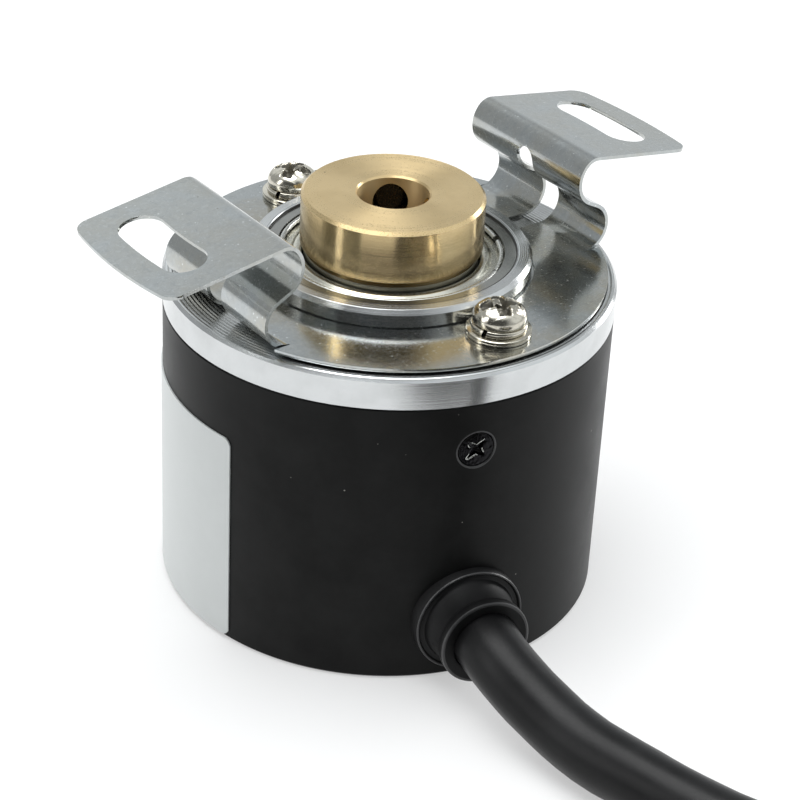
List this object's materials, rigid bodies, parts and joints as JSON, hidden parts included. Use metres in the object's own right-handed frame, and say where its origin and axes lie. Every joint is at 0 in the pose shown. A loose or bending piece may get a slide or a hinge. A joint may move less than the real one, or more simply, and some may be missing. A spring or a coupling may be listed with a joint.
{
  "type": "rotary encoder",
  "caption": "Hollow-shaft rotary encoder: black can, metal flange, brass hub on ball bearings, two-eared spring bracket and a free cable.",
  "frame": {"origin": "centre of the housing's rear face", "axes": "+Z along the shaft towards the hub, +X along the bracket's ears"},
  "size_m": [0.0835, 0.1539, 0.0377],
  "materials": {
    "black_can": "matte, fine grained",
    "flange_metal": "turned, satin",
    "hub_brass": "turned, bright edges",
    "black_steel": "black oxide",
    "bearing_steel": "ground and polished",
    "cage_brass": "stamped",
    "shield_steel": "stamped",
    "spring_steel": "rolled, polished",
    "screw_nickel": "nickel plated",
    "disc_glass": "etched chrome pattern",
    "alloy": "turned",
    "dark_plastic": "moulded",
    "clear_lamp": "clear resin",
    "tinned": "tinned wire",
    "board_green": "solder-masked laminate",
    "post_brass": "turned hexagon",
    "capacitor_tan": "ceramic",
    "white_plastic": "moulded",
    "wire_skin": "extruded, several colours",
    "rubber_black": "moulded",
    "cable_black": "extruded, soft",
    "label_foil": "silver foil, satin"
  },
  "bodies": {
    "housing": {"housing_cap": "black_can", "front_flange": "flange_metal", "rating_label": "label_foil", "side_screws": "black_steel", "mounting_bracket": "spring_steel", "flat_washers": "screw_nickel", "lock_washers": "screw_nickel", "bracket_screws": "screw_nickel", "front_outer_ring": "bearing_steel", "front_shields": "shield_steel", "front_snap_rings": "tinned", "rear_outer_ring": "bearing_steel", "rear_shields": "shield_steel", "rear_snap_rings": "tinned", "circuit_board": "board_green", "board_standoffs": "post_brass", "board_screws": "screw_nickel", "sensor_array": "dark_plastic", "mask_plate": "disc_glass", "led_holder": "dark_plastic", "led_emitter": "clear_lamp", "led_leads": "tinned", "holder_screws": "screw_nickel", "driver_chip": "dark_plastic", "comparator_chip": "dark_plastic", "capacitors": "capacitor_tan", "wire_connector": "white_plastic", "inner_wires": "wire_skin", "cable_gland": "rubber_black", "cable_clip": "alloy", "cable": "cable_black", "cable_coil": "cable_black", "cable_tail": "cable_black", "coil_tie": "rubber_black", "end_sleeve": "rubber_black", "lead_wires": "wire_skin"},
    "rotor": {"hollow_shaft": "hub_brass", "front_inner_ring": "bearing_steel", "rear_inner_ring": "bearing_steel", "spacer_sleeve": "bearing_steel", "shaft_circlip": "black_steel", "disc_hub": "alloy", "code_disc": "disc_glass", "disc_clamp": "alloy", "disc_screw": "screw_nickel"},
    "front_ball_set": {"front_balls": "bearing_steel", "front_cage": "cage_brass"},
    "rear_ball_set": {"rear_balls": "bearing_steel", "rear_cage": "cage_brass"},
    "grub_a": {"set_screw_a": "black_steel"},
    "grub_b": {"set_screw_b": "black_steel"}
  },
  "joints": [
    {"name": "shaft_spin", "type": "hinge", "parent": "housing", "child": "rotor", "pos_m": [0, 0, 0.028], "axis": [0, 0, 1], "continuous": true},
    {"name": "front_cage_spin", "type": "hinge", "parent": "housing", "child": "front_ball_set", "pos_m": [0, 0, 0.028], "axis": [0, 0, 1], "continuous": true},
    {"name": "rear_cage_spin", "type": "hinge", "parent": "housing", "child": "rear_ball_set", "pos_m": [0, 0, 0.02], "axis": [0, 0, 1], "continuous": true},
    {"name": "set_screw_a_travel", "type": "slide", "parent": "rotor", "child": "grub_a", "axis": [-0.5299, -0.848, 0], "range_m": [-0.001, 0.0006]},
    {"name": "set_screw_b_travel", "type": "slide", "parent": "rotor", "child": "grub_b", "axis": [-0.848, 0.5299, 0], "range_m": [-0.001, 0.0006]}
  ],
  "couplings": [
    {"joint": "front_cage_spin", "follows": "shaft_spin", "ratio": 0.4279},
    {"joint": "rear_cage_spin", "follows": "shaft_spin", "ratio": 0.4279}
  ]
}
